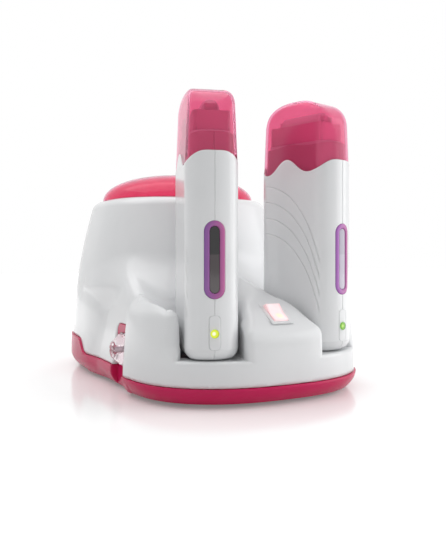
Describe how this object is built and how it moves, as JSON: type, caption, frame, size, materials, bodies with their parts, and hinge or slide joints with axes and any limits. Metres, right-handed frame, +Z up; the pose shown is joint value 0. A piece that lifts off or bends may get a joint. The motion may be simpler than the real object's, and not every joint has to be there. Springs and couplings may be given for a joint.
{
  "type": "wax heater station",
  "caption": "Table-top wax heater: a lidded pot tower with a thermostat knob, a lit rocker switch and docks that hold capped roll-on wax hand pieces.",
  "frame": {"origin": "on the table under the middle of the station", "axes": "+Z up, the front with the docks faces -Y, +X to the right seen from the front"},
  "size_m": [0.2168, 0.3288, 0.2513],
  "materials": {
    "white_plastic": "satin white moulding",
    "pink_plastic": "gloss raspberry moulding",
    "clear_pink": "gloss see-through pink",
    "clear_plastic": "gloss clear",
    "lit_pink": "gloss, lit from inside",
    "violet_plastic": "satin violet",
    "dark_window": "gloss smoked window",
    "led_green": "gloss yellow-green light",
    "aluminium": "spun",
    "steel": "plain",
    "brass": "plated",
    "rubber": "matte",
    "black_plastic": "matte",
    "circuit_board": "satin"
  },
  "bodies": {
    "station": {"base_pan": "pink_plastic", "upper_housing": "white_plastic", "well_liner": "aluminium", "well_seal": "rubber", "band_heater": "steel", "thermal_cutoff": "black_plastic", "thermostat": "black_plastic", "switch_frame": "white_plastic", "control_board": "circuit_board", "board_parts": "black_plastic", "power_inlet": "black_plastic", "inlet_pins": "steel", "rubber_feet": "rubber", "case_screws": "steel", "left_contact_block": "black_plastic", "right_contact_block": "black_plastic"},
    "pot": {"wax_pot": "aluminium"},
    "lid": {"pot_lid": "clear_pink"},
    "knob": {"thermostat_knob": "clear_plastic", "knob_shaft": "steel"},
    "rocker": {"switch_rocker": "lit_pink"},
    "left_handpiece": {"left_grip_outer_shell": "white_plastic", "left_grip_inner_shell": "white_plastic", "left_window_bezel": "violet_plastic", "left_window_lens": "dark_window", "left_led_panel": "white_plastic", "left_led_lens": "led_green", "left_warming_sleeve": "aluminium", "left_grip_board": "circuit_board", "left_contact_pads": "brass"},
    "left_refill": {"left_cartridge": "white_plastic", "left_cartridge_head": "white_plastic"},
    "left_roll": {"left_roller": "white_plastic"},
    "left_cover": {"left_cap": "clear_pink"},
    "left_front_pin": {"left_front_contact_pin": "brass"},
    "left_rear_pin": {"left_rear_contact_pin": "brass"},
    "right_handpiece": {"right_grip_outer_shell": "white_plastic", "right_grip_inner_shell": "white_plastic", "right_window_bezel": "violet_plastic", "right_window_lens": "dark_window", "right_led_panel": "white_plastic", "right_led_lens": "led_green", "right_warming_sleeve": "aluminium", "right_grip_board": "circuit_board", "right_contact_pads": "brass"},
    "right_refill": {"right_cartridge": "white_plastic", "right_cartridge_head": "white_plastic"},
    "right_roll": {"right_roller": "white_plastic"},
    "right_cover": {"right_cap": "clear_pink"},
    "right_front_pin": {"right_front_contact_pin": "brass"},
    "right_rear_pin": {"right_rear_contact_pin": "brass"}
  },
  "joints": [
    {"name": "pot_lift", "type": "slide", "parent": "station", "child": "pot", "axis": [0, 0, 1], "range_m": [0, 0.1]},
    {"name": "lid_lift", "type": "slide", "parent": "pot", "child": "lid", "axis": [0, 0, 1], "range_m": [0, 0.06]},
    {"name": "thermostat_turn", "type": "hinge", "parent": "station", "child": "knob", "pos_m": [-0.1, -0.05, 0.0356], "axis": [1, 0, 0], "range_deg": [-135, 135]},
    {"name": "rocker_tip", "type": "hinge", "parent": "station", "child": "rocker", "pos_m": [0, -0.13907, 0.06691], "axis": [1, 0, 0], "range_deg": [-16, 0]},
    {"name": "left_handpiece_lift", "type": "slide", "parent": "station", "child": "left_handpiece", "axis": [0, 0, 1], "range_m": [0, 0.16]},
    {"name": "left_refill_lift", "type": "slide", "parent": "left_handpiece", "child": "left_refill", "axis": [0, 0, 1], "range_m": [0, 0.165]},
    {"name": "left_cover_lift", "type": "slide", "parent": "left_refill", "child": "left_cover", "axis": [0, 0, 1], "range_m": [0, 0.08]},
    {"name": "left_roller_spin", "type": "hinge", "parent": "left_refill", "child": "left_roll", "pos_m": [-0.049, -0.112, 0.2315], "axis": [0.2706, 0.9627, 0], "continuous": true},
    {"name": "left_front_pin_press", "type": "slide", "parent": "station", "child": "left_front_pin", "axis": [0, 0, 1], "range_m": [-0.0012, 0], "stiffness_N_per_m": 200, "springref_m": 0.0005},
    {"name": "left_rear_pin_press", "type": "slide", "parent": "station", "child": "left_rear_pin", "axis": [0, 0, 1], "range_m": [-0.0012, 0], "stiffness_N_per_m": 200, "springref_m": 0.0005},
    {"name": "right_handpiece_lift", "type": "slide", "parent": "station", "child": "right_handpiece", "axis": [0, 0, 1], "range_m": [0, 0.16]},
    {"name": "right_refill_lift", "type": "slide", "parent": "right_handpiece", "child": "right_refill", "axis": [0, 0, 1], "range_m": [0, 0.165]},
    {"name": "right_cover_lift", "type": "slide", "parent": "right_refill", "child": "right_cover", "axis": [0, 0, 1], "range_m": [0, 0.08]},
    {"name": "right_roller_spin", "type": "hinge", "parent": "right_refill", "child": "right_roll", "pos_m": [0.049, -0.112, 0.2315], "axis": [-0.2706, 0.9627, 0], "continuous": true},
    {"name": "right_front_pin_press", "type": "slide", "parent": "station", "child": "right_front_pin", "axis": [0, 0, 1], "range_m": [-0.0012, 0], "stiffness_N_per_m": 200, "springref_m": 0.0005},
    {"name": "right_rear_pin_press", "type": "slide", "parent": "station", "child": "right_rear_pin", "axis": [0, 0, 1], "range_m": [-0.0012, 0], "stiffness_N_per_m": 200, "springref_m": 0.0005}
  ]
}
